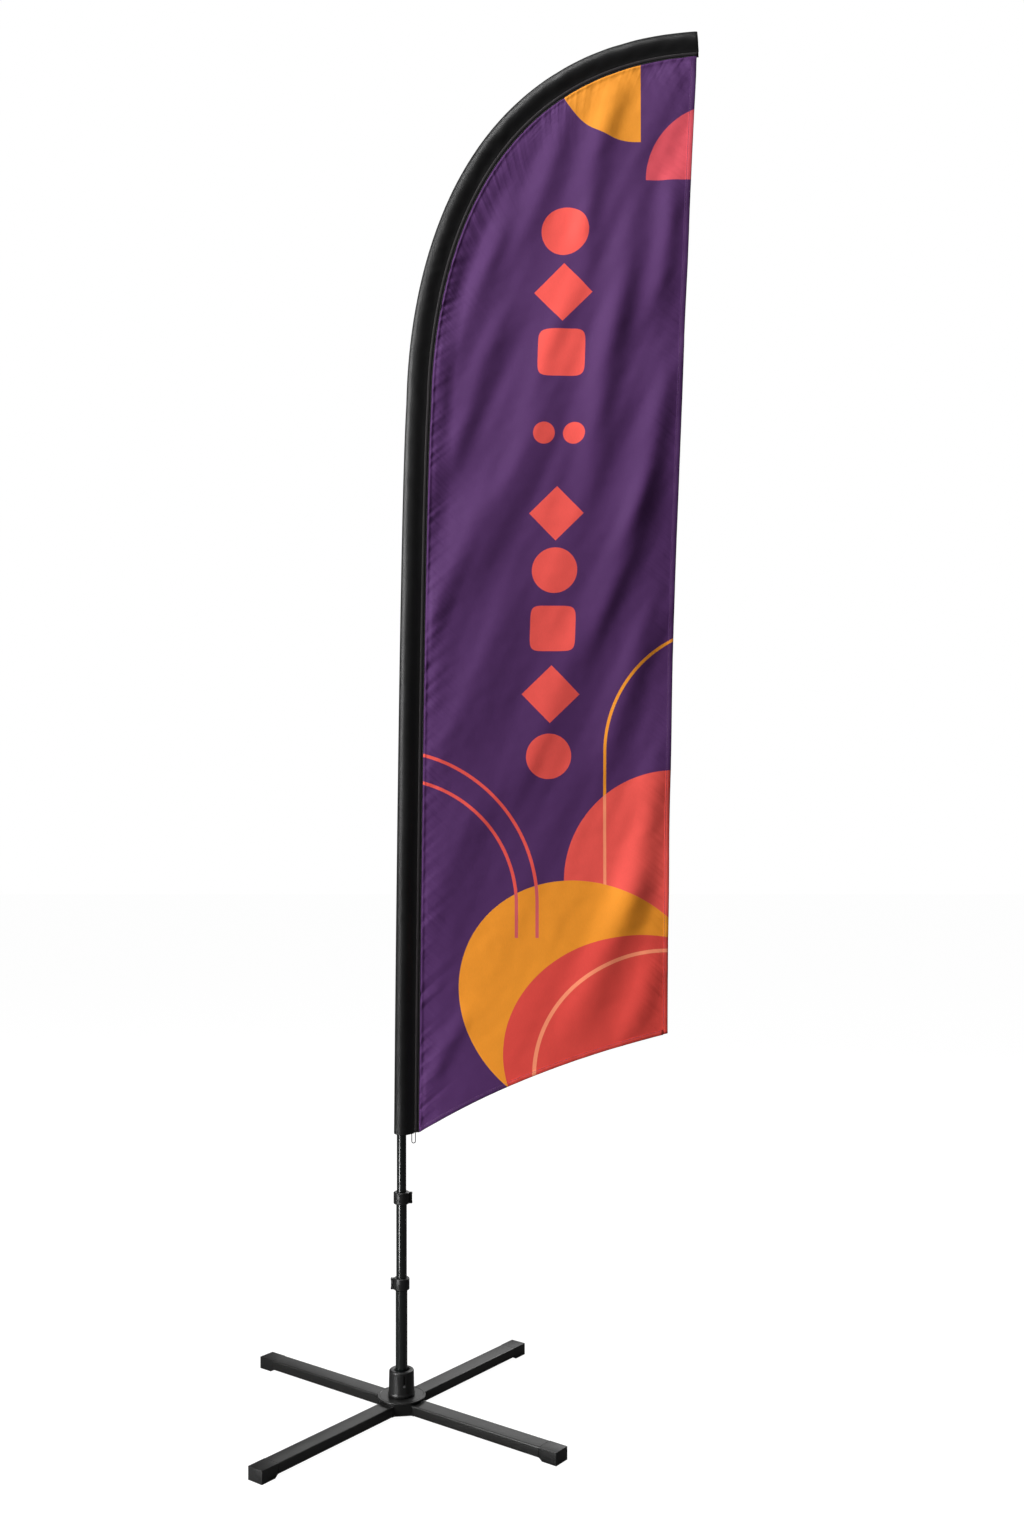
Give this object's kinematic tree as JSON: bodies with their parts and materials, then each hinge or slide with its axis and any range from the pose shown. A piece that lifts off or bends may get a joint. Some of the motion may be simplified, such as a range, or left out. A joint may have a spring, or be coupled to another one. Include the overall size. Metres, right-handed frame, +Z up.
{
  "type": "feather flag with pole",
  "caption": "Feather banner sewn to a curved pole pocket, on a telescopic pole that turns in a socket on a folding cross base.",
  "frame": {"origin": "on the floor, on the pole's axis, under the middle of the cross base", "axes": "+Z up the pole, +X towards the flag's free edge, +Y out of the flag's back, so the flag's front looks along -Y"},
  "size_m": [1.0085, 0.7092, 3.032],
  "materials": {
    "coated_steel": "satin",
    "moulded_plastic": "matte",
    "pole_tube": "satin",
    "bright_steel": "satin",
    "glass_fibre": "satin",
    "pocket_cloth": "matte",
    "seam_tape": "matte",
    "print_cloth": "matte",
    "elastic": "matte"
  },
  "bodies": {
    "base": {"hub_body": "coated_steel", "hub_bottom_plate": "coated_steel", "plate_screw_1": "bright_steel", "plate_screw_2": "bright_steel", "plate_screw_3": "bright_steel", "plate_screw_4": "bright_steel", "flange_disc": "coated_steel", "spindle": "bright_steel", "spindle_washer": "bright_steel", "spindle_nut": "bright_steel", "bearing_inner_ring": "bright_steel", "bearing_ball_cage": "bright_steel", "bearing_clip": "bright_steel", "leg_pin_front_left": "bright_steel", "leg_pin_front_right": "bright_steel", "leg_pin_back_right": "bright_steel", "leg_pin_back_left": "bright_steel"},
    "leg_front_left": {"leg_tube_front_left": "coated_steel", "leg_knuckle_front_left": "moulded_plastic", "foot_cap_front_left": "moulded_plastic"},
    "leg_front_right": {"leg_tube_front_right": "coated_steel", "leg_knuckle_front_right": "moulded_plastic", "foot_cap_front_right": "moulded_plastic"},
    "leg_back_right": {"leg_tube_back_right": "coated_steel", "leg_knuckle_back_right": "moulded_plastic", "foot_cap_back_right": "moulded_plastic"},
    "leg_back_left": {"leg_tube_back_left": "coated_steel", "leg_knuckle_back_left": "moulded_plastic", "foot_cap_back_left": "moulded_plastic"},
    "rotator": {"rotator_socket": "moulded_plastic", "socket_grub_screw": "bright_steel", "bearing_outer_ring": "bright_steel", "lower_pole_tube": "pole_tube", "lower_clamp_collar": "moulded_plastic", "lower_clamp_bush": "moulded_plastic", "lower_clamp_pin": "bright_steel"},
    "lower_lever": {"lower_clamp_lever": "moulded_plastic"},
    "middle_pole": {"middle_pole_tube": "pole_tube", "middle_tube_plug": "moulded_plastic", "upper_clamp_collar": "moulded_plastic", "upper_clamp_bush": "moulded_plastic", "upper_clamp_pin": "bright_steel"},
    "upper_lever": {"upper_clamp_lever": "moulded_plastic"},
    "upper_pole": {"upper_pole_tube": "pole_tube", "upper_tube_plug": "moulded_plastic", "lower_flex_rod": "glass_fibre", "rod_ferrule": "bright_steel", "upper_flex_rod": "glass_fibre", "tip_cap": "moulded_plastic", "pole_sleeve": "pocket_cloth", "seam_tape": "seam_tape", "flag_panel": "print_cloth", "elastic_loop": "elastic"}
  },
  "joints": [
    {"name": "fold_front_left", "type": "hinge", "parent": "base", "child": "leg_front_left", "pos_m": [-0.02227, -0.02955, 0.0165], "axis": [0.7986, -0.6018, 0], "range_deg": [0, 90]},
    {"name": "fold_front_right", "type": "hinge", "parent": "base", "child": "leg_front_right", "pos_m": [0.02955, -0.02227, 0.0165], "axis": [0.6018, 0.7986, 0], "range_deg": [0, 90]},
    {"name": "fold_back_right", "type": "hinge", "parent": "base", "child": "leg_back_right", "pos_m": [0.02227, 0.02955, 0.0165], "axis": [-0.7986, 0.6018, 0], "range_deg": [0, 90]},
    {"name": "fold_back_left", "type": "hinge", "parent": "base", "child": "leg_back_left", "pos_m": [-0.02955, 0.02227, 0.0165], "axis": [-0.6018, -0.7986, 0], "range_deg": [0, 90]},
    {"name": "pole_swivel", "type": "hinge", "parent": "base", "child": "rotator", "pos_m": [0, 0, 0.042], "axis": [0, 0, 1], "continuous": true},
    {"name": "lower_lever_flip", "type": "hinge", "parent": "rotator", "child": "lower_lever", "pos_m": [-0.0203, 0, 0.279], "axis": [0, 0, 1], "range_deg": [0, 110]},
    {"name": "middle_pole_slide", "type": "slide", "parent": "rotator", "child": "middle_pole", "axis": [0, 0, 1], "range_m": [-0.13, 0]},
    {"name": "upper_lever_flip", "type": "hinge", "parent": "middle_pole", "child": "upper_lever", "pos_m": [0.0203, 0, 0.468], "axis": [0, 0, -1], "range_deg": [0, 110]},
    {"name": "upper_pole_slide", "type": "slide", "parent": "middle_pole", "child": "upper_pole", "axis": [0, 0, 1], "range_m": [-0.1, 0]}
  ]
}
